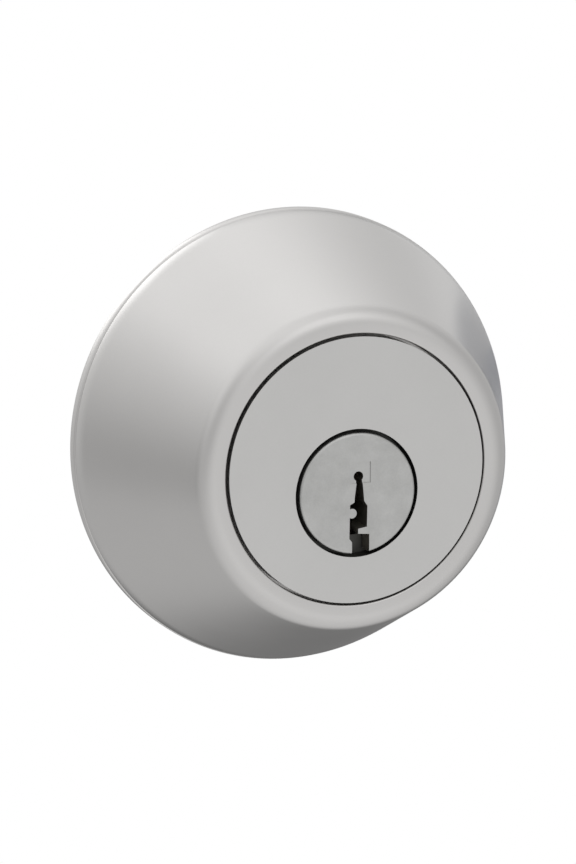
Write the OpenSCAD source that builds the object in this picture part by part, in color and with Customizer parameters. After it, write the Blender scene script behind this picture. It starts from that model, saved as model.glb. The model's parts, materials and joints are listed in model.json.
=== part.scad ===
// Single-cylinder deadbolt door lock, fitted, with its bolt drawn back.
// Millimetres. +Z is up, the keyed outside face looks along -Y and the bolt shoots along +X.
// The origin is the middle of the door's cross bore, on the door's outside face (y = 0).

/* [Door] */
// Thickness of the door that the lock is fitted in
door_thickness = 35; // [35:1:45]
// Distance from the door's edge back to the middle of the cross bore
backset = 60.3; // [60:0.1:73]
// Distance of each mounting screw from the middle of the cross bore
screw_reach = 20.5; // [18.5:0.1:21.5]

/* [Trim collar] */
// Diameter of the collar where it stands on the door
collar_base_d = 65; // [63:0.5:80]
// Height of the collar's front face above the door
collar_depth = 26.8; // [26:0.1:34]
// Diameter at which the collar's flank would meet its front face
collar_corner_d = 44.6; // [43.5:0.1:50]
// Radius of the round between flank and front face
collar_round = 3; // [1:0.1:3.5]
// Height of the straight rim at the collar's foot
collar_rim = 1.9; // [0.5:0.1:3]
// Thickness of the collar's wall
collar_wall = 1.6; // [1:0.1:2]
// Height of the collar's middle above the plug's middle
collar_lift = 3.2; // [2.5:0.1:4]

/* [Keyed cylinder] */
// Diameter of the flat face disc
face_d = 37.4; // [36.5:0.1:39]
// Thickness of the flat face disc
face_thickness = 3.5; // [3:0.1:5]
// Gap all round the face disc
face_gap = 0.36; // [0.2:0.02:0.6]
// How far the face disc stands proud of the collar
face_proud = 0.25; // [0:0.05:0.6]
// Diameter of the plug's barrel
plug_d = 12.7; // [12:0.1:15.5]
// Diameter of the plug's front face
plug_face_d = 17; // [16.5:0.1:18.5]
// Gap all round the plug's front face
plug_gap = 0.52; // [0.2:0.02:0.6]
// How far the plug's face stands proud of the face disc
plug_proud = 0.4; // [0:0.05:0.8]
// Radius of the round on the plug's front edge
plug_round = 0.4; // [0.1:0.05:0.6]
// Depth of the milled square round the head of the keyway
mark_depth = 0.15; // [0.05:0.05:0.3]
// Wall of the housing round the plug
barrel_wall = 3.1; // [2.5:0.1:4]
// Width of the housing's pin block
pin_block_w = 9; // [7:0.1:11]
// Radius of every tumbler pin
pin_r = 1.45; // [1.2:0.05:1.6]
// Distance from one tumbler pin to the next
pin_pitch = 3.81; // [3.5:0.01:4]
// Length of each driver pin
driver_length = 4.4; // [4:0.1:5]
// Length of each pin spring as fitted
spring_length = 5.6; // [4.5:0.1:6.5]

/* [Bolt] */
// How far the bolt shoots
bolt_throw = 25.4; // [22:0.1:31]
// Length of the bolt
bolt_length = 34; // [33:0.5:36]
// Height of the bolt
bolt_h = 17.5; // [15:0.1:18.5]
// Thickness of the bolt through the door
bolt_t = 14; // [12:0.1:15]
// Outside diameter of the bolt tube
tube_d = 22.2; // [21.5:0.1:24]
// Wall of the bolt tube
tube_wall = 1.2; // [1:0.1:1.5]
// Width of the faceplate on the door's edge
plate_w = 25.4; // [24:0.1:32]
// Height of the faceplate on the door's edge
plate_h = 57.2; // [56:0.1:70]
// Thickness of the faceplate
plate_t = 2.2; // [1.8:0.1:3]
// Distance between the two faceplate screw holes
plate_hole_span = 41.3; // [40:0.1:46]
// Diameter of the faceplate screw holes
plate_hole_d = 4.4; // [4:0.1:5]

/* [Inside half] */
// Diameter of the inside rose where it stands on the door
rose_base_d = 64; // [62:0.5:78]
// Diameter of the inside rose's front face
rose_front_d = 55; // [54:0.5:60]
// Height of the inside rose above the door
rose_depth = 11; // [9:0.1:14]
// Radius of the round at the rose's front edge
rose_round = 2.5; // [1:0.1:3]
// Thickness of the rose's wall
rose_wall = 1.6; // [1.2:0.1:2]
// Height of the thumb turn's grip
turn_h = 34; // [28:0.5:41]
// Thickness of the thumb turn's grip
turn_t = 9; // [7:0.1:11]
// How far the thumb turn stands out from the rose
turn_reach = 22; // [18:0.5:27]

/* [Tailpiece and screws] */
// Width of the tailpiece blade
blade_w = 7; // [6:0.1:7.4]
// Thickness of the tailpiece blade
blade_t = 2; // [1.6:0.1:2.4]
// Diameter of the mounting screws
screw_d = 4.1; // [3.5:0.1:4.3]

/* [Hidden] */
$fn = 96;

run_gap = 0.05;          // round shafts in their bores
slide_gap = 0.25;        // flat sides that slide past each other
side_gap = 0.3;          // flat faces that turn past each other
over = 1;                // how far a cutter runs past what it cuts

// trim collar, heights measured outwards from the door
base_r = collar_base_d / 2;
corner_r = collar_corner_d / 2;
opening_r = face_d / 2 + face_gap;
flank_slope = (base_r - corner_r) / (collar_depth - collar_rim);
flank_angle = atan(flank_slope);
wall_across = collar_wall / cos(flank_angle);
lip_t = 1.5;
face_front = collar_depth + face_proud;
lip_top = face_front - face_thickness - 0.15;
guard_wall = 2;
guard_top = lip_top - lip_t - 1.6;
shelf_t = 1.6;

// keyed cylinder
plug_r = plug_d / 2;
bore_r = plug_r + run_gap;
barrel_r = plug_r + barrel_wall;
face_hole_r = plug_face_d / 2 + plug_gap;
flange_t = 2.2;
housing_back = 2;
web_front = -8;
web_back = -3;
post_r = 3.6;
post_end = 8;
thread_r = screw_d / 2 + run_gap;
chamber_r = pin_r + run_gap;
pin_count = 5;
block_front = -(face_front - face_thickness);
plug_front = face_front + plug_proud;
plug_flange_back = face_front - flange_t;
first_pin_y = block_front + 3.8;
key_pin_lengths = [4.2, 5.4, 3.8, 5.8, 4.6];
pin_floor = plug_r - 6.15;
driver_bottom = plug_r + 0.05;
driver_top = driver_bottom + driver_length;
spring_top = driver_top + spring_length;
cover_t = 1;
block_top = spring_top + cover_t + 0.4;
block_back = -1.2;
lip_r = sqrt(pow(block_top - collar_lift, 2) + pow(pin_block_w / 2, 2)) + 0.4;
boss_r = 5;
boss_end = 5;
groove_r = 4.2;
groove_y = [2.3, 3.3];
lug_r = 2.4;
lug_angle = 20;
lug_end = 6.4;
head_y = [6.7, 8];
retainer_end = 9.2;

// bolt and its case
bolt_y = door_thickness / 2;
tube_r = tube_d / 2;
tube_bore_r = tube_r - tube_wall;
bolt_round_r = tube_bore_r - 0.2;
bolt_back = backset - bolt_length;
bulkhead_t = 1.5;
tube_start = bolt_back - side_gap - bulkhead_t;
backing_t = 1.2;
backing_front = backset - plate_t;
plate_corner_r = 6.2;
case_t = 1;
case_gap = 12;
case_r = 10.5;
case_y = [bolt_y - case_gap / 2, bolt_y + case_gap / 2 - case_t];
hub_r = 6;
hub_small_r = 4.8;
fork_y = [bolt_y - 3.5, bolt_y - 1];
link_y = [bolt_y - 0.5, bolt_y + 2];
link_z = [-bolt_h / 2 + 0.4, -bolt_h / 2 + 3.9];   // inside the height of the bolt
pin_drop = bolt_throw / 2;
drive_pin_r = 1.8;
fork_slot = drive_pin_r + 0.0407 * bolt_throw + 0.12;
fork_wall = 2.2;
fork_half = fork_slot + fork_wall;
fork_reach = pin_drop * sqrt(2) + 1.6;
lobe_r = 3.6;
link_pin_x = bolt_back + 4;
link_pin_r = 1.2;
link_mid_z = (link_z[0] + link_z[1]) / 2;
link_pin_half = sqrt(pow(bolt_round_r, 2) - pow(abs(link_mid_z) + link_pin_r, 2)) - 0.25;
link_pocket = 8;
roller_r = 2.4;
roller_z = 2.5;
rivet_r = 1.5;
rivet_z = 8;
rivet_x = [9, tube_start - 3.5];
screw_pass_r = screw_d / 2 + 0.95;

// inside half, distances measured inwards from the door's inside face
rose_front_y = door_thickness + rose_depth;
rose_back_y = rose_front_y - rose_wall;
rose_r = rose_base_d / 2;
rose_front_r = rose_front_d / 2;
rose_rim = 1.2;
support_t = 1.6;
support_y = door_thickness + support_t;
support_r = rose_r - rose_wall - 1;
spindle_r = 8.5;
boss_outer_r = 4.7;
boss_hole_r = screw_d / 2 + 0.25;
head_r = 3.9;
head_t = 1.9;
base_disc_r = 12;
base_disc_t = 2.4;
turn_gap = 0.3;
turn_y = [rose_front_y + turn_gap + base_disc_t, rose_front_y + turn_reach];
grip_foot = 9;
grip_corner = 8.5;
spindle_start = 3;
washer_t = 0.7;
turn_groove_r = 7.2;
turn_groove = [rose_depth - rose_wall - 2.1, rose_depth - rose_wall - 0.9];
blade_end = rose_front_y + 4;
screw_end = web_back - 0.5;
blade_slot_t = blade_t + 0.3;
blade_slot_w = blade_w + 0.3;
blade_pass_r = sqrt(pow(blade_w, 2) + pow(blade_t, 2)) / 2 + 0.25;

steel = [0.62, 0.62, 0.63];
satin = [0.74, 0.73, 0.72];
brass = [0.78, 0.66, 0.38];

// Turns a profile drawn as (radius, height) so that its height runs out from the door's outside face.
module outward() rotate([90, 0, 0]) children();
// The same, running in from the door's inside face.
module inward() translate([0, door_thickness, 0]) rotate([-90, 0, 0]) children();
// A rod along Y.
module rod(r, y0, y1, x = 0, z = 0)
    translate([x, y0, z]) rotate([-90, 0, 0]) cylinder(r = r, h = y1 - y0);
// A rod along X on the bolt's line.
module bolt_rod(r, x0, x1, z = 0)
    translate([x0, bolt_y, z]) rotate([0, 90, 0]) cylinder(r = r, h = x1 - x0);
// A rod along Z at a tumbler's place.
module tumbler(i, r, z0, z1)
    translate([0, pin_y(i), z0]) cylinder(r = r, h = z1 - z0, $fn = 48);
// A block between two corners.
module block(low, high) translate(low) cube(high - low);
// An open retaining ring, round a shaft along Y.
module open_ring(r_in, r_out, y0, y1, mouth)
    difference() {
        rod(r_out, y0, y1);
        rod(r_in, y0 - over, y1 + over);
        block([-mouth / 2, y0 - over, -r_out - over], [mouth / 2, y1 + over, 0]);
    }
// The part of a disc between two angles either side of straight up.
module wedge(r, y0, y1, half)
    translate([0, y1, 0]) rotate([90, 0, 0]) linear_extrude(y1 - y0)
        polygon([[0, 0], [-2 * r * sin(half), 2 * r * cos(half)], [2 * r * sin(half), 2 * r * cos(half)]]);
// A flat shape drawn in X and Z, given its thickness along Y.
module slab(y0, y1) translate([0, y1, 0]) rotate([90, 0, 0]) linear_extrude(y1 - y0) children();
// A round-cornered plate, drawn in Z and Y on the door's edge.
module edge_plate(x0, x1)
    translate([x0, bolt_y, 0]) rotate([90, 0, 90]) linear_extrude(x1 - x0) {
        square([plate_w - 2 * plate_corner_r, plate_h], center = true);
        square([plate_w, plate_h - 2 * plate_corner_r], center = true);
        for (sx = [-1, 1], sy = [-1, 1])
            translate([sx * (plate_w / 2 - plate_corner_r), sy * (plate_h / 2 - plate_corner_r)])
                circle(plate_corner_r);
    }
// The bolt's section, larger all round by a gap.
module bolt_section(x0, x1, gap)
    intersection() {
        block([x0, bolt_y - bolt_t / 2 - gap, -bolt_h / 2 - gap],
              [x1, bolt_y + bolt_t / 2 + gap, bolt_h / 2 + gap]);
        bolt_rod(bolt_round_r + min(gap, 0.15), x0, x1);
    }

function pin_y(i) = first_pin_y + (i - 1) * pin_pitch;
function flank_r(h) = base_r - flank_slope * max(0, h - collar_rim);
function arc(c, r, a0, a1, steps) = [for (k = [0 : steps]) let (a = a0 + (a1 - a0) * k / steps)
    [c[0] + r * cos(a), c[1] + r * sin(a)]];
// Outline of a round that is tangent to a sloping flank and to a flat front.
function shoulder(edge_r, top, slope, r) =
    let (a = atan(slope), back = r * tan((90 - a) / 2))
    arc([edge_r - back, top - r], r, a, 90, 12);

module trim_collar() color(satin) translate([0, 0, collar_lift]) outward() rotate_extrude($fn = 180)
    polygon(concat(
        [[base_r - wall_across, 0], [base_r, 0], [base_r, collar_rim]],
        shoulder(corner_r, collar_depth, flank_slope, collar_round),
        [[opening_r, collar_depth], [opening_r, lip_top], [lip_r, lip_top], [lip_r, lip_top - lip_t],
         [flank_r(lip_top - lip_t) - wall_across, lip_top - lip_t],
         [base_r - wall_across, collar_rim]]));

module cylinder_guard() color(steel) difference() {
    translate([0, 0, collar_lift]) outward() rotate_extrude($fn = 120)
        let (gap = wall_across + side_gap, low = -web_back - shelf_t, high = -web_back)
        polygon([[lip_r + 0.6, low], [flank_r(low) - gap, low], [flank_r(guard_top) - gap, guard_top],
                 [flank_r(guard_top) - gap - guard_wall, guard_top],
                 [flank_r(high) - gap - guard_wall, high], [lip_r + 0.6, high]]);
    for (s = [-1, 1]) rod(post_r + 0.1, -guard_top, over, s * screw_reach);
}

module cylinder_housing() color(satin) difference() {
    union() {
        translate([0, 0, collar_lift]) outward() translate([0, 0, -block_front])
            cylinder(d = face_d, h = face_thickness, $fn = 180);
        rod(barrel_r, block_front - 0.5, housing_back);
        block([-pin_block_w / 2, block_front - 0.5, 0], [pin_block_w / 2, block_back, block_top]);
        block([-screw_reach, web_front, -post_r], [screw_reach, web_back, post_r]);
        for (s = [-1, 1]) rod(post_r, web_front, post_end, s * screw_reach);
    }
    rod(bore_r, -face_front - over, housing_back + over);
    rod(face_hole_r, -face_front - over, -plug_flange_back + side_gap);
    for (i = [1 : pin_count]) tumbler(i, chamber_r, 0, block_top + over);
    block([-pin_block_w / 2 + 1.2, pin_y(1) - chamber_r - 0.7, spring_top],
          [pin_block_w / 2 - 1.2, pin_y(pin_count) + chamber_r + 0.7, spring_top + cover_t]);
    for (s = [-1, 1]) rod(thread_r, web_front - over, post_end + over, s * screw_reach);
}

// The keyway's outline across the plug: a narrow neck with a round top, a round ward from one side,
// a square ward from the other, and an open foot.
module keyway_outline() let (foot = -plug_face_d / 2 - over) {
    translate([0.13, 2.4]) circle(0.7, $fn = 32);
    difference() {
        polygon([[-0.22, 2.2], [-0.22, 1.3], [-0.47, -0.6], [-0.5, -1.2], [-1.15, -1.55], [-1.25, -6.3],
                 [-0.85, -6.8], [-0.85, foot], [1.7, foot], [1.7, -5.8], [0.05, -5.65], [0.05, -4.95],
                 [1.35, -4.75], [1.42, -1.8], [0.95, -1.1], [0.9, -0.6], [0.72, 1.3], [0.6, 2.2]]);
        translate([-0.85, -2.75]) circle(0.68, $fn = 32);
    }
}

// A shallow milled square round the head of the keyway.
module keyway_mark() block([-0.8, -plug_front - over, 1.45], [1.9, -plug_front + mark_depth, 4.4]);

module plug() color(brass) difference() {
    union() {
        outward() rotate_extrude()
            polygon(concat([[0, plug_flange_back], [plug_face_d / 2, plug_flange_back]],
                arc([plug_face_d / 2 - plug_round, plug_front - plug_round], plug_round, 0, 90, 6),
                [[0, plug_front]]));
        rod(plug_r, -plug_flange_back - 1, housing_back);
        rod(boss_r, housing_back - 0.5, boss_end);
        intersection() {
            wedge(boss_r, boss_end - 0.5, lug_end, lug_angle);
            difference() {
                rod(boss_r - 0.2, boss_end - 1, lug_end);
                rod(lug_r, boss_end - 2, lug_end + over);
            }
        }
    }
    slab(-plug_front - over, 0.5) keyway_outline();
    keyway_mark();
    for (i = [1 : pin_count]) tumbler(i, chamber_r, pin_floor - 0.1, plug_r + over);
    difference() {
        rod(boss_r + over, groove_y[0], groove_y[1]);
        rod(groove_r, groove_y[0] - over, groove_y[1] + over);
    }
}

module plug_clip() color(steel) open_ring(groove_r, barrel_r - 1.9, groove_y[0], groove_y[1], 4.6);

// Each key pin stands with its rounded head at the shear line, as the right key holds it.
module key_pin(i) color(brass) intersection() {
    union() {
        tumbler(i, pin_r, plug_r - key_pin_lengths[i - 1] + 0.9, plug_r + over);
        translate([0, pin_y(i), plug_r - key_pin_lengths[i - 1]])
            cylinder(r1 = pin_r - 0.8, r2 = pin_r, h = 0.9, $fn = 48);
    }
    rod(plug_r - 0.03, block_front, over);
}

module driver_pin(i) color(steel) tumbler(i, pin_r, driver_bottom, driver_top);

module pin_spring(i) color("silver") translate([0, pin_y(i), driver_top]) rotate_extrude($fn = 36)
    let (turns = 7, step = spring_length / turns, wire = 0.32)
    polygon(concat(
        [for (k = [0 : turns * 2]) [pin_r - 0.05 - (k % 2) * wire, k * step / 2]],
        [for (k = [turns * 2 : -1 : 0]) [pin_r - 0.75 - (k % 2) * wire, k * step / 2]]));

module spring_cover() color(brass)
    block([-pin_block_w / 2 + 1.25, pin_y(1) - chamber_r - 0.65, spring_top],
          [pin_block_w / 2 - 1.25, pin_y(pin_count) + chamber_r + 0.65, spring_top + cover_t]);

module tail_retainer() color(steel) difference() {
    rod(barrel_r, housing_back, retainer_end);
    rod(barrel_r - 0.9, housing_back - over, retainer_end - 1);
    rod(blade_pass_r, housing_back, retainer_end + over);
}

module tailpiece() color(steel) union() {
    rod(boss_r - 0.2, head_y[0], head_y[1]);
    rotate([0, 180, 0]) intersection() {
        wedge(boss_r, boss_end + 0.2, head_y[0] + 0.5, lug_angle);
        difference() {
            rod(boss_r - 0.2, boss_end + 0.2, head_y[0] + 0.5);
            rod(lug_r, boss_end, head_y[0] + over);
        }
    }
    block([-blade_t / 2, head_y[0] + 0.5, -blade_w / 2], [blade_t / 2, blade_end, blade_w / 2]);
}

module bolt_faceplate() color(satin) difference() {
    edge_plate(backing_front, backset);
    bolt_section(backing_front - over, backset + over, 0.2);
    for (s = [-1, 1]) translate([0, 0, s * plate_hole_span / 2]) {
        bolt_rod(plate_hole_d / 2, backing_front - over, backset + over);
        translate([backset - 1.4, bolt_y, 0]) rotate([0, 90, 0])
            cylinder(r1 = plate_hole_d / 2, r2 = plate_hole_d / 2 + 1.75, h = 1.4);
    }
}

module backing_plate() color(steel) difference() {
    edge_plate(backing_front - backing_t, backing_front);
    bolt_rod(tube_r, backing_front - backing_t - over, backing_front + over);
    for (s = [-1, 1]) translate([0, 0, s * plate_hole_span / 2])
        bolt_rod(plate_hole_d / 2, backing_front - backing_t - over, backing_front + over);
}

module bolt_tube() color(steel) difference() {
    bolt_rod(tube_r, tube_start, backing_front);
    bolt_rod(tube_bore_r, tube_start + bulkhead_t, backing_front + over);
    block([tube_start - over, link_y[0] - slide_gap, link_z[0] - slide_gap],
          [tube_start + bulkhead_t + over, link_y[1] + slide_gap, link_z[1] + slide_gap]);
}

module deadbolt() color(satin) difference() {
    intersection() {
        bolt_section(bolt_back, backset, 0);
        union() {
            bolt_rod(bolt_round_r + over, bolt_back, backset - 1);
            translate([backset - 1, bolt_y, 0]) rotate([0, 90, 0])
                cylinder(r1 = bolt_round_r + 0.05, r2 = bolt_round_r - 0.95, h = 1);
        }
    }
    block([bolt_back - over, link_y[0] - 0.1, link_z[0] - 2],
          [bolt_back + link_pocket, link_y[1] + 0.1, link_z[1] + 0.8]);
    rod(link_pin_r, bolt_y - link_pin_half, bolt_y + link_pin_half, link_pin_x, link_mid_z);
    bolt_rod(roller_r + run_gap, bolt_back - over, backset - 2.4, roller_z);
}

module bolt_roller() color("dimgray") bolt_rod(roller_r, bolt_back + link_pocket, backset - 2.6, roller_z);

module bolt_link() color(steel) difference() {
    union() {
        block([-pin_drop, link_y[0], link_z[0]], [bolt_back + link_pocket - 0.4, link_y[1], link_z[1]]);
        block([-pin_drop - lobe_r, link_y[0], -pin_drop], [-pin_drop + lobe_r, link_y[1], link_z[1]]);
        rod(lobe_r, link_y[0], link_y[1], -pin_drop, -pin_drop);
    }
    rod(link_pin_r, link_y[0] - over, link_y[1] + over, link_pin_x, link_mid_z);
    rod(drive_pin_r, link_y[0] - over, link_y[1] + over, -pin_drop, -pin_drop);
}

module link_pin() color(steel)
    rod(link_pin_r, bolt_y - link_pin_half, bolt_y + link_pin_half, link_pin_x, link_mid_z);

module drive_pin() color(steel) rod(drive_pin_r, fork_y[0] - 0.4, link_y[1], -pin_drop, -pin_drop);

// The fork stands at 45 degrees behind straight down, and swings to 45 degrees ahead of it.
module bolt_fork() color(brass) difference() {
    union() {
        rod(hub_r, case_y[0] - 0.3, fork_y[1]);
        rod(hub_small_r, fork_y[0], case_y[1] + case_t + 0.3);
        slab(fork_y[0], fork_y[1]) rotate(-45)
            translate([-fork_half, -fork_reach]) square([2 * fork_half, fork_reach]);
    }
    slab(fork_y[0] - over, fork_y[1] + 0.2) rotate(-45)
        translate([-fork_slot, -fork_reach - over]) square([2 * fork_slot, fork_reach + over - hub_r - 0.8]);
    block([-blade_slot_t / 2, 0, -blade_slot_w / 2], [blade_slot_t / 2, door_thickness, blade_slot_w / 2]);
}

module case_plate(y0, hub_hole_r) color(steel) difference() {
    union() {
        rod(case_r, y0, y0 + case_t);
        block([0, y0, -case_r], [tube_start, y0 + case_t, case_r]);
    }
    rod(hub_hole_r, y0 - over, y0 + case_t + over);
    rod(screw_pass_r, y0 - over, y0 + case_t + over, screw_reach);
    for (x = rivet_x) rod(rivet_r, y0 - over, y0 + case_t + over, x, rivet_z);
}
module case_outer() case_plate(case_y[0], hub_r + run_gap);
module case_inner() case_plate(case_y[1], hub_small_r + run_gap);

module case_rivets() color(steel) for (x = rivet_x) {
    rod(rivet_r, case_y[0], case_y[1] + case_t, x, rivet_z);
    rod(rivet_r + 0.8, case_y[0] + case_t, case_y[1], x, rivet_z);
}

module support_plate() color(steel) difference() {
    inward() cylinder(r = support_r, h = support_t, $fn = 120);
    rod(spindle_r + 1, door_thickness - over, support_y + over);
    for (s = [-1, 1]) rod(screw_d / 2 + 0.3, door_thickness - over, support_y + over, s * screw_reach);
}

module inside_rose() color(satin) difference() {
    union() {
        inward() rotate_extrude($fn = 180) let (
            slope = (rose_r - rose_front_r) / (rose_depth - rose_rim),
            inner = rose_depth - rose_wall)
            polygon(concat(
                [[rose_r - rose_wall, 0], [rose_r, 0], [rose_r, rose_rim]],
                shoulder(rose_front_r, rose_depth, slope, rose_round),
                [[spindle_r + run_gap, rose_depth], [spindle_r + run_gap, inner],
                 [rose_r - slope * (inner - rose_rim) - rose_wall - 0.5, inner],
                 [rose_r - rose_wall, rose_rim]]));
        for (s = [-1, 1]) rod(boss_outer_r, support_y, rose_front_y - 0.4, s * screw_reach);
    }
    for (s = [-1, 1]) rod(boss_hole_r, door_thickness, rose_front_y + over, s * screw_reach);
}

// The grip's outline from the side, as distance from its foot and height: a narrow foot that
// widens to a broad end with round corners.
module grip_side() let (half = turn_h / 2, reach = turn_y[1] - turn_y[0])
    polygon(concat([[-over, -grip_foot], [0, -grip_foot]],
        arc([reach * 0.42, -half + grip_corner], grip_corner, 222, 270, 5),
        arc([reach - grip_corner, -half + grip_corner], grip_corner, 270, 360, 10),
        arc([reach - grip_corner, half - grip_corner], grip_corner, 0, 90, 10),
        arc([reach * 0.42, half - grip_corner], grip_corner, 90, 138, 5),
        [[0, grip_foot], [-over, grip_foot]]));

module thumb_turn() color(satin) difference() {
    union() {
        rod(spindle_r, door_thickness + spindle_start, turn_y[0]);
        rod(base_disc_r, rose_front_y + turn_gap, turn_y[0]);
        intersection() {
            slab(turn_y[0] - 0.5, turn_y[1]) {
                square([turn_t, turn_h - turn_t], center = true);
                for (s = [-1, 1]) translate([0, s * (turn_h - turn_t) / 2]) circle(turn_t / 2);
            }
            translate([-turn_t, turn_y[0], 0]) rotate([90, 0, 90]) linear_extrude(2 * turn_t) grip_side();
        }
    }
    difference() {
        rod(spindle_r + over, door_thickness + turn_groove[0], door_thickness + turn_groove[1]);
        rod(turn_groove_r, door_thickness, rose_front_y);
    }
    block([-blade_slot_t / 2, door_thickness, -blade_slot_w / 2],
          [blade_slot_t / 2, blade_end + 0.5, blade_slot_w / 2]);
}

module turn_washer() color("gainsboro") difference() {
    rod(spindle_r + 4, rose_back_y - washer_t, rose_back_y);
    rod(spindle_r + 0.3, rose_back_y - washer_t - over, rose_back_y + over);
}

module turn_clip() color(steel)
    open_ring(turn_groove_r, spindle_r + 2.4,
              door_thickness + turn_groove[0], door_thickness + turn_groove[1], 8);

module mounting_screws() color("silver") for (s = [-1, 1]) difference() {
    union() {
        rod(screw_d / 2, screw_end, rose_front_y + 0.2, s * screw_reach);
        translate([s * screw_reach, rose_front_y, 0]) rotate([-90, 0, 0]) rotate_extrude($fn = 60)
            polygon(concat([[0, 0], [head_r, 0]],
                [for (a = [0 : 15 : 90]) [head_r * cos(a), head_t * (0.4 + 0.6 * sin(a))]]));
    }
    translate([s * screw_reach, rose_front_y + head_t * 0.45, 0]) for (a = [0, 90]) rotate([0, a, 0])
        translate([-2.1, 0, -0.45]) cube([4.2, head_t, 0.9]);
}

trim_collar();
cylinder_guard();
cylinder_housing();
plug();
plug_clip();
for (i = [1 : pin_count]) {
    key_pin(i);
    driver_pin(i);
    pin_spring(i);
}
spring_cover();
tail_retainer();
tailpiece();
bolt_faceplate();
backing_plate();
bolt_tube();
deadbolt();
bolt_roller();
bolt_link();
link_pin();
drive_pin();
bolt_fork();
case_outer();
case_inner();
case_rivets();
support_plate();
inside_rose();
thumb_turn();
turn_washer();
turn_clip();
mounting_screws();
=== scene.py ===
# Deadbolt door lock, fitted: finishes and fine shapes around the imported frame.
# Metres, +Z up, the keyed outside face looks along -Y, the bolt shoots along +X.
import json
import math

import bmesh
import bpy
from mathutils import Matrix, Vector


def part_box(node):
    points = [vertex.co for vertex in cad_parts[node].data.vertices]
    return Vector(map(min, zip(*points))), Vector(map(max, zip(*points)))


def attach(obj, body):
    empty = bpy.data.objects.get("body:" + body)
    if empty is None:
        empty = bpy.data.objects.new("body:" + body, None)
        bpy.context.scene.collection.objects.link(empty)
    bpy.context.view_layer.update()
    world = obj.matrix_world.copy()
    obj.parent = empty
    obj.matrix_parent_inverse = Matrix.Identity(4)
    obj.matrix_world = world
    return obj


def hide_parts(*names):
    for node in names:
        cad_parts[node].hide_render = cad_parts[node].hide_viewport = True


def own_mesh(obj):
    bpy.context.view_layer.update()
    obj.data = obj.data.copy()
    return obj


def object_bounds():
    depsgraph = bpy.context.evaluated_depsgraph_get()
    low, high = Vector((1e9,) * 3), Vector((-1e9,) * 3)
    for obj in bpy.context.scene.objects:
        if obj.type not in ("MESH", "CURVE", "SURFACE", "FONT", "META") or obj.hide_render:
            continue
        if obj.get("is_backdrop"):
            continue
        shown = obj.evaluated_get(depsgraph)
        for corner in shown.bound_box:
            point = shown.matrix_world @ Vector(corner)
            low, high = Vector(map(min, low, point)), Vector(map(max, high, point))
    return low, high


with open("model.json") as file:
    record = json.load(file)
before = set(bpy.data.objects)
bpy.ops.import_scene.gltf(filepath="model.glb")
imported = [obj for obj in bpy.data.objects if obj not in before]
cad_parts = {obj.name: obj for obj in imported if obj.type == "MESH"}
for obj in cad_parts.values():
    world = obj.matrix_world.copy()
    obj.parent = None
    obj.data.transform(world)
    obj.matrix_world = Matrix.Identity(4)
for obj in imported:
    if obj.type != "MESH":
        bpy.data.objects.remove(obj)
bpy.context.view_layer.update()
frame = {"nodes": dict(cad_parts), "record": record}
record = frame["record"]
mm = 0.001
print("frame loaded")


def bodyOf(node):
    for body, nodes in record["behaviour"]["bodies"].items():
        if node in nodes:
            return body


def slotOf(node):
    for part in record["subparts"]:
        if part["node"] == node:
            return part["material_slot"]


def boxOf(node):
    low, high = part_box(node)
    return Vector(low), Vector(high)


def newObject(name, mesh):
    piece = bpy.data.objects.new(name, mesh)
    bpy.context.scene.collection.objects.link(piece)
    return piece


def softenEdges(mesh, angle):
    # smooth faces, with a sharp crease wherever two faces meet at more than the angle
    bm = bmesh.new()
    bm.from_mesh(mesh)
    for face in bm.faces:
        face.smooth = True
    for edge in bm.edges:
        edge.smooth = len(edge.link_faces) == 2 and edge.calc_face_angle(0) < math.radians(angle)
    bm.to_mesh(mesh)
    bm.free()


def applied(piece):
    # the piece's modifiers turned into plain mesh
    graph = bpy.context.evaluated_depsgraph_get()
    graph.update()
    mesh = bpy.data.meshes.new_from_object(piece.evaluated_get(graph))
    piece.modifiers.clear()
    piece.data = mesh
    return piece


def lathe(name, profile, centreZ, segments):
    # a closed outline of (radius, height) turned about Y; the height runs outwards, towards -Y
    bm = bmesh.new()
    rings = []
    for step in range(segments):
        turn = 2 * math.pi * step / segments
        rings.append([bm.verts.new((r * math.cos(turn), -h, centreZ + r * math.sin(turn)))
                      for r, h in profile])
    for step in range(segments):
        here, there = rings[step], rings[(step + 1) % segments]
        for k in range(len(profile)):
            j = (k + 1) % len(profile)
            bm.faces.new((here[k], here[j], there[j], there[k]))
    bmesh.ops.remove_doubles(bm, verts=bm.verts, dist=0.0001 * mm)
    bmesh.ops.recalc_face_normals(bm, faces=bm.faces)
    mesh = bpy.data.meshes.new(name)
    bm.to_mesh(mesh)
    bm.free()
    return newObject(name, mesh)


def arcPoints(centre, radius, start, end, steps):
    points = []
    for k in range(steps + 1):
        a = math.radians(start + (end - start) * k / steps)
        points.append((centre[0] + radius * math.cos(a), centre[1] + radius * math.sin(a)))
    return points


def finish(piece, material, node, *standsFor):
    # rides with the node's body, takes the material given, if any, and stands for the nodes named
    if material:
        piece.data.materials.clear()
        piece.data.materials.append(material)
    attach(piece, bodyOf(node))
    if standsFor:
        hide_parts(*standsFor)


# gaps welded, faces this near to one plane joined, and edges sharper than the crease eased (degrees)
easing = {"weld": 0.002 * mm, "flat": 0.6, "crease": 28}


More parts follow.
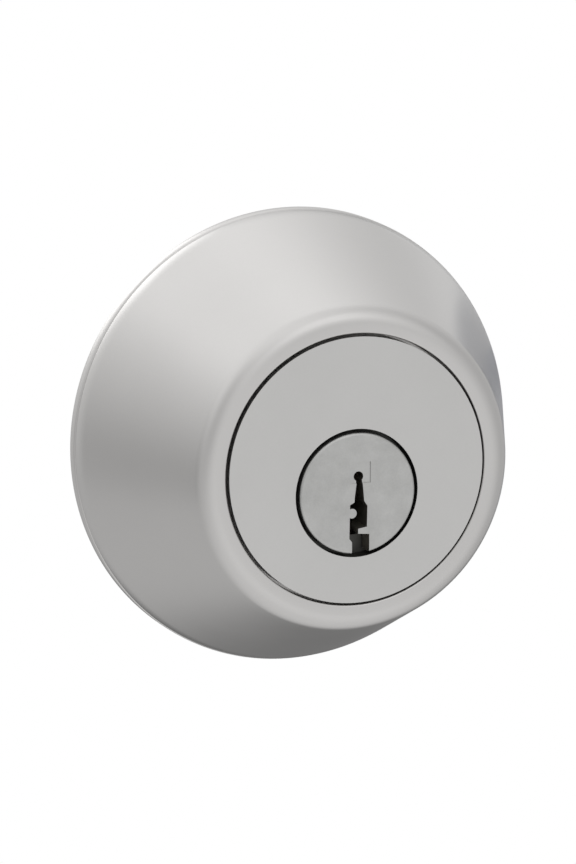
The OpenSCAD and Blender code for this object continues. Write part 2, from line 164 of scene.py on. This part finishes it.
def eased(node, width, steps=2):
    # a copy of a CAD node with its flats joined up and its edges eased
    mesh = frame["nodes"][node].data.copy()
    piece = newObject(node + "_eased", mesh)
    bm = bmesh.new()
    bm.from_mesh(mesh)
    bmesh.ops.remove_doubles(bm, verts=bm.verts, dist=easing["weld"])
    bmesh.ops.dissolve_limit(bm, angle_limit=math.radians(easing["flat"]), verts=bm.verts, edges=bm.edges)
    bm.to_mesh(mesh)
    bm.free()
    softenEdges(mesh, easing["crease"])
    bevel = piece.modifiers.new("ease", "BEVEL")
    bevel.width = width
    bevel.segments = steps
    bevel.limit_method = "ANGLE"
    bevel.angle_limit = math.radians(easing["crease"])
    bevel.miter_outer = "MITER_ARC"
    bevel.use_clamp_overlap = True
    bevel.harden_normals = True
    weigh = piece.modifiers.new("weigh", "WEIGHTED_NORMAL")
    weigh.keep_sharp = True
    return applied(piece)


def easeEach(material, width, *nodes, steps=2):
    for node in nodes:
        finish(eased(node, width, steps), material, node, node)


def finishedBy(piece, finishes, pick):
    # each face takes the finish whose number the rule gives
    piece.data.materials.clear()
    for material in finishes:
        piece.data.materials.append(material)
    for face in piece.data.polygons:
        face.material_index = pick(face)
    return piece


def nodeIn(tree, kind, inputs=None, **settings):
    node = tree.nodes.new(kind)
    for key, value in settings.items():
        setattr(node, key, value)
    for key, value in (inputs or {}).items():
        if isinstance(value, bpy.types.NodeSocket):
            tree.links.new(value, node.inputs[key])
        else:
            node.inputs[key].default_value = value
    return node


def mathNode(tree, operation, a, b=None, clamp=False):
    values = {0: a} if b is None else {0: a, 1: b}
    return nodeIn(tree, "ShaderNodeMath", values, operation=operation, use_clamp=clamp).outputs[0]


def groupSockets(tree, inputs, outputs):
    for name, kind, value in inputs:
        socket = tree.interface.new_socket(name, in_out="INPUT", socket_type=kind)
        if value is not None:
            socket.default_value = value
    for name, kind in outputs:
        tree.interface.new_socket(name, in_out="OUTPUT", socket_type=kind)


# the shares of mottle and grain in the colour, where scuffs begin and how they deepen, and the relief's depth
relief = {"mottleShare": 0.7, "grainShare": 0.3, "scuffFrom": 0.58, "scuffGain": 4.0, "scuffRough": 0.25,
          "depth": 0.02 * mm, "streak": (1400, 60, 240), "streakTurn": (0.3, 0.5, 0.2), "ringDrift": 1.2}


def makeSatinGroup():
    # plated metal: a slow mottle in the colour, fine grain, and faint scuffs
    tree = bpy.data.node_groups.new("satinFinish", "ShaderNodeTree")
    groupSockets(tree, [
        ("Light", "NodeSocketColor", (0.7, 0.7, 0.7, 1)),
        ("Dark", "NodeSocketColor", (0.5, 0.5, 0.5, 1)),
        ("Rough", "NodeSocketFloat", 0.3),
        ("Rough Spread", "NodeSocketFloat", 0.08),
        ("Mottle Scale", "NodeSocketFloat", 60.0),
        ("Grain Scale", "NodeSocketFloat", 3500.0),
        ("Grain Height", "NodeSocketFloat", 0.1),
        ("Scuff Amount", "NodeSocketFloat", 0.2),
    ], [("Color", "NodeSocketColor"), ("Roughness", "NodeSocketFloat"), ("Normal", "NodeSocketVector")])
    given = tree.nodes.new("NodeGroupInput").outputs
    made = tree.nodes.new("NodeGroupOutput")
    place = tree.nodes.new("ShaderNodeTexCoord").outputs["Object"]
    mottle = nodeIn(tree, "ShaderNodeTexNoise", {"Vector": place, "Scale": given["Mottle Scale"],
                                                 "Detail": 4.0, "Roughness": 0.55}).outputs["Fac"]
    grain = nodeIn(tree, "ShaderNodeTexNoise", {"Vector": place, "Scale": given["Grain Scale"],
                                                "Detail": 2.0}).outputs["Fac"]
    streak = nodeIn(tree, "ShaderNodeMapping", {"Vector": place, "Rotation": relief["streakTurn"],
                                                "Scale": relief["streak"]}).outputs[0]
    scuff = nodeIn(tree, "ShaderNodeTexNoise", {"Vector": streak, "Scale": 1.0, "Detail": 3.0}).outputs["Fac"]
    scuff = mathNode(tree, "SUBTRACT", scuff, relief["scuffFrom"], clamp=True)
    scuff = mathNode(tree, "MULTIPLY", scuff, relief["scuffGain"], clamp=True)
    scuff = mathNode(tree, "MULTIPLY", scuff, given["Scuff Amount"])
    shade = mathNode(tree, "ADD", mathNode(tree, "MULTIPLY", mottle, relief["mottleShare"]),
                     mathNode(tree, "MULTIPLY", grain, relief["grainShare"]), clamp=True)
    colour = nodeIn(tree, "ShaderNodeMix", {0: shade, 6: given["Dark"], 7: given["Light"]}, data_type="RGBA")
    spread = mathNode(tree, "MULTIPLY", mathNode(tree, "SUBTRACT", mottle, 0.5), given["Rough Spread"])
    rough = mathNode(tree, "ADD", mathNode(tree, "ADD", given["Rough"], spread),
                     mathNode(tree, "MULTIPLY", scuff, relief["scuffRough"]), clamp=True)
    bump = nodeIn(tree, "ShaderNodeBump", {"Strength": given["Grain Height"], "Distance": relief["depth"],
                                           "Height": mathNode(tree, "ADD", grain, scuff)})
    tree.links.new(colour.outputs[2], made.inputs["Color"])
    tree.links.new(rough, made.inputs["Roughness"])
    tree.links.new(bump.outputs[0], made.inputs["Normal"])
    return tree


def makeTurnedGroup():
    # fine rings left by turning or polishing about an axis along Y through a chosen height
    tree = bpy.data.node_groups.new("turnedRings", "ShaderNodeTree")
    groupSockets(tree, [
        ("Axis Height", "NodeSocketFloat", 0.0),
        ("Ring Scale", "NodeSocketFloat", 9000.0),
        ("Ring Depth", "NodeSocketFloat", 0.1),
        ("Normal", "NodeSocketVector", None),
        ("Roughness", "NodeSocketFloat", 0.3),
        ("Rough Spread", "NodeSocketFloat", 0.1),
    ], [("Roughness", "NodeSocketFloat"), ("Normal", "NodeSocketVector")])
    given = tree.nodes.new("NodeGroupInput").outputs
    made = tree.nodes.new("NodeGroupOutput")
    place = tree.nodes.new("ShaderNodeTexCoord").outputs["Object"]
    split = nodeIn(tree, "ShaderNodeSeparateXYZ", {0: place}).outputs
    height = mathNode(tree, "SUBTRACT", split["Z"], given["Axis Height"])
    radius = mathNode(tree, "SQRT", mathNode(tree, "ADD", mathNode(tree, "MULTIPLY", split["X"], split["X"]),
                                             mathNode(tree, "MULTIPLY", height, height)))
    # distance along the profile stands in for the ring's number; the angle only drifts slowly
    ring = mathNode(tree, "MULTIPLY", mathNode(tree, "SUBTRACT", radius, split["Y"]), given["Ring Scale"])
    turn = mathNode(tree, "MULTIPLY", mathNode(tree, "ARCTAN2", height, split["X"]), relief["ringDrift"])
    joined = nodeIn(tree, "ShaderNodeCombineXYZ", {"X": ring, "Y": turn}).outputs[0]
    lines = nodeIn(tree, "ShaderNodeTexNoise", {"Vector": joined, "Scale": 1.0, "Detail": 3.0}).outputs["Fac"]
    bump = nodeIn(tree, "ShaderNodeBump", {"Strength": given["Ring Depth"], "Distance": relief["depth"],
                                           "Height": lines, "Normal": given["Normal"]})
    spread = mathNode(tree, "MULTIPLY", mathNode(tree, "SUBTRACT", lines, 0.5), given["Rough Spread"])
    tree.links.new(mathNode(tree, "ADD", given["Roughness"], spread, clamp=True), made.inputs["Roughness"])
    tree.links.new(bump.outputs[0], made.inputs["Normal"])
    return tree


satinGroup = makeSatinGroup()
turnedGroup = makeTurnedGroup()


def metal(name, light, dark, rough, mottle=60, grain=3500, grainHeight=0.1, scuff=0.2,
          roughSpread=0.08, ringHeight=None, ringDepth=0.1, ringRough=0.1):
    # a plated or bare metal with the satin finish, and turned rings when it has an axis height for them
    material = bpy.data.materials.new(name)
    material.use_nodes = True
    tree = material.node_tree
    shader = tree.nodes["Principled BSDF"]
    shader.inputs["Metallic"].default_value = 1.0
    satin = nodeIn(tree, "ShaderNodeGroup", node_tree=satinGroup)
    values = {"Light": (*light, 1), "Dark": (*dark, 1), "Rough": rough, "Rough Spread": roughSpread,
              "Mottle Scale": mottle, "Grain Scale": grain, "Grain Height": grainHeight, "Scuff Amount": scuff}
    for key, value in values.items():
        satin.inputs[key].default_value = value
    roughness, normal = satin.outputs["Roughness"], satin.outputs["Normal"]
    if ringHeight is not None:
        turned = nodeIn(tree, "ShaderNodeGroup", node_tree=turnedGroup)
        rings = {"Axis Height": ringHeight, "Ring Depth": ringDepth, "Rough Spread": ringRough}
        for key, value in rings.items():
            turned.inputs[key].default_value = value
        tree.links.new(normal, turned.inputs["Normal"])
        tree.links.new(roughness, turned.inputs["Roughness"])
        roughness, normal = turned.outputs["Roughness"], turned.outputs["Normal"]
    tree.links.new(satin.outputs["Color"], shader.inputs["Base Color"])
    tree.links.new(roughness, shader.inputs["Roughness"])
    tree.links.new(normal, shader.inputs["Normal"])
    return material


collarLow, collarHigh = boxOf("trim_collar")
collarAxis = (collarLow.z + collarHigh.z) / 2

collarNickel = metal("collarNickel", (0.70, 0.69, 0.68), (0.62, 0.61, 0.60), 0.30, mottle=45,
                     ringHeight=collarAxis, ringDepth=0.06, ringRough=0.05, scuff=0.1)
faceNickel = metal("faceNickel", (0.69, 0.685, 0.675), (0.60, 0.595, 0.585), 0.36, mottle=80, grain=5200,
                   grainHeight=0.14, scuff=0.12)
plugNickel = metal("plugNickel", (0.68, 0.68, 0.67), (0.41, 0.41, 0.40), 0.42, mottle=420, grain=4200,
                   grainHeight=0.35, roughSpread=0.16, scuff=0.25)
trimNickel = metal("trimNickel", (0.70, 0.69, 0.68), (0.61, 0.60, 0.59), 0.30, mottle=55, scuff=0.14)
roseNickel = metal("roseNickel", (0.70, 0.69, 0.68), (0.62, 0.61, 0.60), 0.30, mottle=45,
                   ringHeight=0.0, ringDepth=0.06, ringRough=0.05, scuff=0.1)
boltNickel = metal("boltNickel", (0.68, 0.67, 0.66), (0.56, 0.55, 0.54), 0.27, mottle=120, scuff=0.4)
yellowBrass = metal("yellowBrass", (0.80, 0.62, 0.30), (0.62, 0.46, 0.20), 0.34, mottle=260, scuff=0.3,
                    roughSpread=0.14)
zincSteel = metal("zincSteel", (0.62, 0.63, 0.66), (0.44, 0.45, 0.48), 0.38, mottle=330, grain=2600,
                  grainHeight=0.2, roughSpread=0.2, scuff=0.3)
darkSteel = metal("darkSteel", (0.30, 0.30, 0.31), (0.17, 0.17, 0.18), 0.36, mottle=300, grain=2600,
                  grainHeight=0.25, roughSpread=0.15, scuff=0.3)
springSteel = metal("springSteel", (0.58, 0.58, 0.60), (0.42, 0.42, 0.44), 0.24, mottle=500, scuff=0.1)
rawCasting = metal("rawCasting", (0.46, 0.46, 0.45), (0.32, 0.32, 0.31), 0.46, mottle=300, grain=2600,
                   grainHeight=0.3, roughSpread=0.15, scuff=0.3)
# painted shade: a near-black finish for the bore's recess, standing in for the shade that falls there
paintedShadeBore = metal("paintedShadeBore", (0.13, 0.13, 0.125), (0.08, 0.08, 0.075), 0.5, mottle=300, grain=2600,
                 grainHeight=0.2, roughSpread=0.12, scuff=0.2)
# the keyway walls' bare brass, dulled and darkened further as painted shade for the deep slot
keywayBrassAndShade = metal("keywayBrassAndShade", (0.55, 0.53, 0.48), (0.34, 0.33, 0.29), 0.44, mottle=700, grain=3800,
                    grainHeight=0.25, roughSpread=0.18, scuff=0.4)
nodeFinish = {"satin_nickel": trimNickel, "face_nickel": faceNickel, "plug_nickel": plugNickel,
              "brass": yellowBrass, "zinc_steel": zincSteel, "hardened_steel": darkSteel,
              "spring_steel": springSteel}
for name, carried in frame["nodes"].items():
    if carried.type == "MESH":
        carried.data.materials.clear()
        carried.data.materials.append(nodeFinish[slotOf(name)])
print("finishes made")


view = {"turn": -20.9, "rise": 11.8, "distance": 0.8, "lens": 235, "sensor": 36, "shift": (0.0015, 0.0009),
        "nearest": 0.01}


def makeCamera(target):
    data = bpy.data.cameras.new("camera")
    data.sensor_fit = "VERTICAL"
    data.sensor_height = view["sensor"]
    data.lens = view["lens"]
    data.shift_x, data.shift_y = view["shift"]
    data.clip_start = view["nearest"]
    camera = newObject("camera", data)
    turn, rise = math.radians(view["turn"]), math.radians(view["rise"])
    back = Vector((math.sin(turn) * math.cos(rise), -math.cos(turn) * math.cos(rise), math.sin(rise)))
    camera.location = target + view["distance"] * back
    camera.rotation_euler = back.to_track_quat("Z", "Y").to_euler()
    bpy.context.scene.camera = camera


makeCamera(Vector((0, 0, collarAxis)))


def flatCard(name, corners, material, faces=((0, 1, 2, 3),)):
    mesh = bpy.data.meshes.new(name)
    mesh.from_pydata(corners, [], faces)
    card = newObject(name, mesh)
    mesh.materials.append(material)
    card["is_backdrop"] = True
    return card


def makeDoorWhite():
    # plain white from the front and clear from behind
    material = bpy.data.materials.new("doorWhite")
    material.use_nodes = True
    tree = material.node_tree
    tree.nodes.remove(tree.nodes["Principled BSDF"])
    glow = nodeIn(tree, "ShaderNodeEmission", {"Color": (1, 1, 1, 1), "Strength": 1.0}).outputs[0]
    clear = tree.nodes.new("ShaderNodeBsdfTransparent").outputs[0]
    behind = tree.nodes.new("ShaderNodeNewGeometry").outputs["Backfacing"]
    mixed = nodeIn(tree, "ShaderNodeMixShader", {0: behind, 1: glow, 2: clear}).outputs[0]
    tree.links.new(mixed, tree.nodes["Material Output"].inputs["Surface"])
    return material


# the door's outside face, as a plain card that is clear from behind; it ends at the door's edge
# and is cut through behind the collar, so nothing white stands inside the keyway
doorEdge = boxOf("bolt_faceplate")[1].x
door = {"y": 0.25 * mm, "reach": 1.6, "bore": 16 * mm}


def squareCorners(left, right, reach):
    return [(left, door["y"], -reach), (right, door["y"], -reach), (right, door["y"], reach),
            (left, door["y"], reach)]


card = flatCard("doorCard", squareCorners(-door["reach"], doorEdge, door["reach"])
                + squareCorners(-door["bore"], door["bore"], door["bore"]),
                makeDoorWhite(),
                [(i, (i + 1) % 4, 4 + (i + 1) % 4, 4 + i) for i in range(4)])
for ray in ("visible_diffuse", "visible_glossy", "visible_shadow"):
    setattr(card, ray, False)

ground = {"drop": 0.22, "reach": 3, "shade": 0.86, "rough": 0.8}
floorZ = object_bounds()[0][2] - ground["drop"]
floorMaterial = bpy.data.materials.new("paleFloor")
floorMaterial.use_nodes = True
floorShader = floorMaterial.node_tree.nodes["Principled BSDF"]
floorShader.inputs["Base Color"].default_value = (ground["shade"], ground["shade"], ground["shade"], 1)
floorShader.inputs["Roughness"].default_value = ground["rough"]
floor = flatCard("floor", [(x * ground["reach"], y * ground["reach"], floorZ)
                           for x, y in ((-1, -1), (1, -1), (1, 1), (-1, 1))], floorMaterial)
for ray in ("visible_diffuse", "visible_glossy"):
    setattr(floor, ray, False)


# what the metal mirrors: an even grey room, with paler and darker patches towards some directions
room = {"shade": 0.57, "patches": [
    {"toward": (-0.50, 0.35, 0.80), "spread": 75, "shade": 0.44},
    {"toward": (0.45, 0.45, 0.75), "spread": 50, "shade": 0.18},
    {"toward": (0.35, 0.78, -0.52), "spread": 42, "shade": -0.37},
    {"toward": (0.62, 0.78, -0.05), "spread": 24, "shade": 0.26},
    {"toward": (-0.93, 0.30, 0.15), "spread": 38, "shade": -0.24},
    {"toward": (0.30, -0.93, -0.15), "spread": 60, "shade": 0.10},
    {"toward": (0.12, -0.74, 0.66), "spread": 48, "shade": 0.30},
    {"toward": (0.00, -0.55, -0.83), "spread": 70, "shade": 0.22},
]}


def makeWorld():
    world = bpy.data.worlds.new("studio")
    bpy.context.scene.world = world
    world.use_nodes = True
    tree = world.node_tree
    out = tree.nodes["World Output"]
    way = tree.nodes.new("ShaderNodeTexCoord").outputs["Generated"]
    shade = room["shade"]
    for patch in room["patches"]:
        toward = Vector(patch["toward"]).normalized()
        facing = nodeIn(tree, "ShaderNodeVectorMath", {0: way, 1: toward},
                        operation="DOT_PRODUCT").outputs["Value"]
        edge = math.cos(math.radians(patch["spread"]))
        inside = nodeIn(tree, "ShaderNodeMapRange", {"Value": facing, "From Min": edge, "From Max": 1.0},
                        interpolation_type="SMOOTHSTEP").outputs[0]
        shade = mathNode(tree, "ADD", shade, mathNode(tree, "MULTIPLY", inside, patch["shade"]))
    lit = nodeIn(tree, "ShaderNodeBackground", {"Color": shade, "Strength": 1.0}).outputs[0]
    seen = nodeIn(tree, "ShaderNodeBackground", {"Color": (1, 1, 1, 1), "Strength": 1.0}).outputs[0]
    isCamera = tree.nodes.new("ShaderNodeLightPath").outputs["Is Camera Ray"]
    mixed = tree.nodes.new("ShaderNodeMixShader")
    tree.links.new(isCamera, mixed.inputs[0])
    tree.links.new(lit, mixed.inputs[1])
    tree.links.new(seen, mixed.inputs[2])
    tree.links.new(mixed.outputs[0], out.inputs["Surface"])


def softbox(name, place, aim, size, power):
    data = bpy.data.lights.new(name, "AREA")
    data.shape = "RECTANGLE"
    data.size, data.size_y = size
    data.energy = power
    lamp = newObject(name, data)
    lamp.location = place
    lamp.rotation_euler = (Vector(place) - Vector(aim)).to_track_quat("Z", "Y").to_euler()


makeWorld()
softbox("keyLight", (0.15, -0.75, 0.60), (0, 0, 0), (0.5, 0.5), 0.18)
softbox("backLight", (-0.3, 0.9, 0.5), (0, 0.03, 0), (0.6, 0.6), 1.0)
bpy.context.scene.view_settings.view_transform = "Standard"
print("studio made")


# the collar's shell: a straight flank from the rim to a rounded shoulder, with an opening for the face disc
collar = {"cornerRadius": 22.3 * mm, "rim": 1.9 * mm, "round": 3.0 * mm, "opening": 19.06 * mm,
          "lipRadius": 16.6 * mm, "wall": 1.7 * mm, "seat": 3.4 * mm, "lip": 1.5 * mm, "edge": 0.25 * mm,
          "flankSteps": 14, "roundSteps": 16, "edgeSteps": 4, "segments": 256, "crease": 38}
# the fine step where the flank meets the rim
rimStep = {"groove": 0.12 * mm, "start": 0.2 * mm, "shoulder": 0.06 * mm, "ease": 0.08 * mm,
           "floor": 0.02 * mm, "end": 0.35 * mm, "fade": 0.2}


def makeCollar():
    foot = (collarHigh.x - collarLow.x) / 2
    depth = -collarLow.y
    rim, wall, edge, opening = (collar[key] for key in ("rim", "wall", "edge", "opening"))
    slope = (foot - collar["cornerRadius"]) / (depth - rim)
    lean = math.degrees(math.atan(slope))
    back = collar["round"] * math.tan(math.radians(90 - lean) / 2)

    def flank(h):
        return foot - slope * max(0, h - rim)

    flankFoot = rim + rimStep["end"]
    flankTop = depth - collar["round"] + collar["round"] * math.sin(math.radians(lean))
    profile = [(foot - wall, 0), (foot - edge, 0), (foot, edge), (foot, rim - rimStep["start"]),
               (foot - rimStep["ease"], rim - rimStep["shoulder"]),
               (foot - rimStep["groove"] - rimStep["ease"], rim + rimStep["floor"]),
               (flank(flankFoot) - rimStep["groove"] * rimStep["fade"], flankFoot)]
    for k in range(1, collar["flankSteps"]):
        h = flankFoot + (flankTop - flankFoot) * k / collar["flankSteps"]
        profile.append((flank(h), h))
    profile += arcPoints((collar["cornerRadius"] - back, depth - collar["round"]), collar["round"], lean, 90,
                         collar["roundSteps"])
    profile += [(opening + edge, depth)]
    profile += arcPoints((opening + edge, depth - edge), edge, 100, 180, collar["edgeSteps"])
    shelf = depth - collar["seat"]
    under = shelf - collar["lip"]
    profile += [(opening, shelf), (collar["lipRadius"], shelf), (collar["lipRadius"], under),
                (flank(under) - wall, under), (foot - wall, rim)]
    piece = lathe("collarShell", profile, collarAxis, collar["segments"])
    softenEdges(piece.data, collar["crease"])
    finish(piece, collarNickel, "trim_collar", "trim_collar")


makeCollar()


# what lies behind the face disc is left as cast; the bore is painted near-black as painted shade, and the
# keyway walls are brass darkened partly with painted shade
faceFront, plugFront = boxOf("cylinder_housing")[0].y, boxOf("plug")[0].y
cylinderCut = {"discDepth": 3.3 * mm, "boreDepth": 0.25 * mm, "holeRadius": 9.6 * mm,
               "keywayDepth": 0.5 * mm, "flangeRadius": 8.2 * mm, "housingEase": 0.12 * mm,
               "plugEase": 0.05 * mm}


def housingFinish(face):
    deep = face.center.y - faceFront
    if deep > cylinderCut["discDepth"]:
        return 1
    inHole = math.hypot(face.center.x, face.center.z) < cylinderCut["holeRadius"]
    # faces deep in the hole take the painted-shade bore finish
    return 2 if inHole and deep > cylinderCut["boreDepth"] else 0


def plugFinish(face):
    inner = math.hypot(face.center.x, face.center.z) < cylinderCut["flangeRadius"]
    # the keyway's deeper faces take the brass darkened with painted shade
    return 1 if inner and face.center.y - plugFront > cylinderCut["keywayDepth"] else 0


housing = finishedBy(eased("cylinder_housing", cylinderCut["housingEase"]),
                     (faceNickel, rawCasting, paintedShadeBore), housingFinish)
finish(housing, None, "cylinder_housing", "cylinder_housing")
plug = finishedBy(eased("plug", cylinderCut["plugEase"]), (plugNickel, keywayBrassAndShade), plugFinish)
finish(plug, None, "plug", "plug")
print("outside half made")


def geometryTree(name, inputs):
    tree = bpy.data.node_groups.new(name, "GeometryNodeTree")
    groupSockets(tree, inputs, [("Geometry", "NodeSocketGeometry")])
    return tree, tree.nodes.new("NodeGroupInput").outputs


def treeEnd(tree, geometry, material):
    # plain mesh out, in its finish
    real = nodeIn(tree, "GeometryNodeRealizeInstances", {0: geometry}).outputs[0]
    clad = nodeIn(tree, "GeometryNodeSetMaterial", {"Geometry": real, "Material": material}).outputs[0]
    tree.links.new(clad, tree.nodes.new("NodeGroupOutput").inputs["Geometry"])


def grown(name, tree, values):
    # an object grown by the tree with these values, as a plain mesh
    piece = newObject(name, bpy.data.meshes.new(name))
    modifier = piece.modifiers.new("grow", "NODES")
    modifier.node_group = tree
    sockets = {item.name: item.identifier for item in tree.interface.items_tree if item.in_out == "INPUT"}
    for key, value in values.items():
        modifier[sockets[key]] = value
    return applied(piece)


def makeCoilTree():
    # one wire spring standing along Z
    tree, given = geometryTree("coil", [
        ("Y", "NodeSocketFloat", 0.0), ("Foot Z", "NodeSocketFloat", 0.0), ("Height", "NodeSocketFloat", 0.005),
        ("Turns", "NodeSocketFloat", 7.0), ("Radius", "NodeSocketFloat", 0.001),
        ("Wire Radius", "NodeSocketFloat", 0.0002), ("Material", "NodeSocketMaterial", None)])
    helix = nodeIn(tree, "GeometryNodeCurveSpiral", {
        "Resolution": 20, "Rotations": given["Turns"], "Start Radius": given["Radius"],
        "End Radius": given["Radius"], "Height": given["Height"]}).outputs[0]
    section = nodeIn(tree, "GeometryNodeCurvePrimitiveCircle",
                     {"Resolution": 8, "Radius": given["Wire Radius"]})
    wire = nodeIn(tree, "GeometryNodeCurveToMesh", {"Curve": helix, "Profile Curve": section.outputs[0],
                                                    "Fill Caps": True}).outputs[0]
    wire = nodeIn(tree, "GeometryNodeSetShadeSmooth", {"Geometry": wire}).outputs[0]
    place = nodeIn(tree, "ShaderNodeCombineXYZ", {"Y": given["Y"], "Z": given["Foot Z"]}).outputs[0]
    stood = nodeIn(tree, "GeometryNodeTransform", {"Geometry": wire, "Translation": place}).outputs[0]
    treeEnd(tree, stood, given["Material"])
    return tree


# the five pin springs as real coils
spring = {"count": 5, "turns": 7.0, "wireRadius": 0.17 * mm, "endGap": 0.05 * mm, "lift": 1.2 * mm}


def makeSprings():
    tree = makeCoilTree()
    r, gap = spring["wireRadius"], spring["endGap"]
    for i in range(1, spring["count"] + 1):
        low, high = boxOf(f"pin_spring_{i}")
        y, length = (low.y + high.y) / 2, high.z - low.z
        coil = grown(f"pinSpring{i}", tree, {
            "Y": y, "Foot Z": low.z + r + gap, "Height": length - 2 * (r + gap), "Turns": spring["turns"],
            "Radius": (high.x - low.x) / 2 - r - gap, "Wire Radius": r, "Material": springSteel})
        finish(coil, springSteel, f"pin_spring_{i}", f"pin_spring_{i}")
        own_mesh(coil)


makeSprings()
print("springs wound")


def makeThreadTree():
    # a screw thread: a small four-sided ridge along a helix about Y
    tree, given = geometryTree("screwThread", [
        ("X", "NodeSocketFloat", 0.0), ("Start Y", "NodeSocketFloat", 0.0), ("Length", "NodeSocketFloat", 0.01),
        ("Pitch", "NodeSocketFloat", 0.0007), ("Root Radius", "NodeSocketFloat", 0.0018),
        ("Ridge", "NodeSocketFloat", 0.0002), ("Material", "NodeSocketMaterial", None)])
    turns = mathNode(tree, "DIVIDE", given["Length"], given["Pitch"])
    helix = nodeIn(tree, "GeometryNodeCurveSpiral", {
        "Resolution": 24, "Rotations": turns, "Start Radius": given["Root Radius"],
        "End Radius": given["Root Radius"], "Height": given["Length"]}).outputs[0]
    ridge = nodeIn(tree, "GeometryNodeCurvePrimitiveCircle",
                   {"Resolution": 4, "Radius": given["Ridge"]}).outputs[0]
    thread = nodeIn(tree, "GeometryNodeCurveToMesh", {"Curve": helix, "Profile Curve": ridge,
                                                      "Fill Caps": True}).outputs[0]
    place = nodeIn(tree, "ShaderNodeCombineXYZ", {"X": given["X"], "Y": given["Start Y"]}).outputs[0]
    turned = nodeIn(tree, "GeometryNodeTransform", {"Geometry": thread, "Translation": place,
                                                    "Rotation": (-math.pi / 2, 0, 0)}).outputs[0]
    treeEnd(tree, turned, given["Material"])
    return tree


# the mounting screws: eased bodies turned down to the thread's root at the far end, with a thread round that
screwThread = {"pitch": 0.7 * mm, "ridge": 0.2 * mm, "rise": 0.13 * mm, "rootRadius": 1.7 * mm,
               "shankRadius": 2.05 * mm, "length": 14 * mm, "runOut": 0.3 * mm, "headRadius": 3.9 * mm,
               "ease": 0.15 * mm}


def turnDown(piece, end, reach):
    # narrows the shanks to the thread's root from their far ends up to y = end
    bm = bmesh.new()
    bm.from_mesh(piece.data)
    for y in (end, end + screwThread["runOut"]):
        bmesh.ops.bisect_plane(bm, geom=bm.verts[:] + bm.edges[:] + bm.faces[:], plane_co=(0, y, 0),
                               plane_no=(0, 1, 0))
    share = screwThread["rootRadius"] / screwThread["shankRadius"]
    for vert in bm.verts:
        if vert.co.y < end + screwThread["runOut"] / 2:
            centre = math.copysign(reach, vert.co.x)
            vert.co.x = centre + (vert.co.x - centre) * share
            vert.co.z *= share
    bm.to_mesh(piece.data)
    bm.free()


def makeScrews():
    low, high = boxOf("mounting_screws")
    reach = high.x - screwThread["headRadius"]
    start = low.y + screwThread["ridge"] * 2
    tree = makeThreadTree()
    for side in (-1, 1):
        thread = grown("screwThreadRight" if side > 0 else "screwThreadLeft", tree, {
            "X": side * reach, "Start Y": start, "Length": screwThread["length"], "Pitch": screwThread["pitch"],
            "Root Radius": screwThread["rootRadius"] + screwThread["rise"], "Ridge": screwThread["ridge"],
            "Material": zincSteel})
        finish(thread, zincSteel, "mounting_screws")
    bodies = eased("mounting_screws", screwThread["ease"])
    turnDown(bodies, start + screwThread["length"] + screwThread["ridge"], reach)
    finish(bodies, zincSteel, "mounting_screws", "mounting_screws")


makeScrews()
print("screws threaded")

easeEach(trimNickel, 0.25 * mm, "bolt_faceplate")
easeEach(zincSteel, 0.12 * mm, "backing_plate", "case_outer", "case_inner")
easeEach(zincSteel, 0.15 * mm, "bolt_tube")
easeEach(boltNickel, 0.3 * mm, "deadbolt")
easeEach(yellowBrass, 0.2 * mm, "bolt_fork")
easeEach(zincSteel, 0.15 * mm, "bolt_link")


def makeRivetTree():
    # a row of domed rivet heads along X
    tree, given = geometryTree("rivetHeads", [
        ("Count", "NodeSocketInt", 2), ("First X", "NodeSocketFloat", 0.0), ("Step", "NodeSocketFloat", 0.01),
        ("Y", "NodeSocketFloat", 0.0), ("Z", "NodeSocketFloat", 0.0), ("Radius", "NodeSocketFloat", 0.002),
        ("Height", "NodeSocketFloat", 0.001), ("Material", "NodeSocketMaterial", None)])
    ball = nodeIn(tree, "GeometryNodeMeshUVSphere", {"Segments": 32, "Rings": 16, "Radius": 1.0}).outputs[0]
    size = nodeIn(tree, "ShaderNodeCombineXYZ", {"X": given["Radius"], "Y": given["Height"],
                                                 "Z": given["Radius"]}).outputs[0]
    dome = nodeIn(tree, "GeometryNodeTransform", {"Geometry": ball, "Scale": size}).outputs[0]
    dome = nodeIn(tree, "GeometryNodeSetShadeSmooth", {"Geometry": dome}).outputs[0]
    start = nodeIn(tree, "ShaderNodeCombineXYZ", {"X": given["First X"], "Y": given["Y"], "Z": given["Z"]})
    row = nodeIn(tree, "GeometryNodeMeshLine", {
        "Count": given["Count"], "Start Location": start.outputs[0],
        "Offset": nodeIn(tree, "ShaderNodeCombineXYZ", {"X": given["Step"]}).outputs[0]},
        mode="OFFSET").outputs[0]
    placed = nodeIn(tree, "GeometryNodeInstanceOnPoints", {"Points": row, "Instance": dome}).outputs[0]
    treeEnd(tree, placed, given["Material"])
    return tree


rivet = {"count": 2, "headRadius": 2.1 * mm, "headHeight": 0.7 * mm, "shankRadius": 2.3 * mm}


def makeRivets():
    low, high = boxOf("case_rivets")
    tree = makeRivetTree()
    first, last = low.x + rivet["shankRadius"], high.x - rivet["shankRadius"]
    for name, y in (("rivetHeadsOuter", low.y), ("rivetHeadsInner", high.y)):
        heads = grown(name, tree, {"Count": rivet["count"], "First X": first, "Step": last - first, "Y": y,
                                   "Z": (low.z + high.z) / 2, "Radius": rivet["headRadius"],
                                   "Height": rivet["headHeight"], "Material": zincSteel})
        finish(heads, zincSteel, "case_rivets")


makeRivets()
print("bolt made")

easeEach(roseNickel, 0.2 * mm, "inside_rose")
easeEach(trimNickel, 0.6 * mm, "thumb_turn", steps=4)
easeEach(zincSteel, 0.1 * mm, "tailpiece", "support_plate", "tail_retainer", "turn_washer")
print("inside half made")
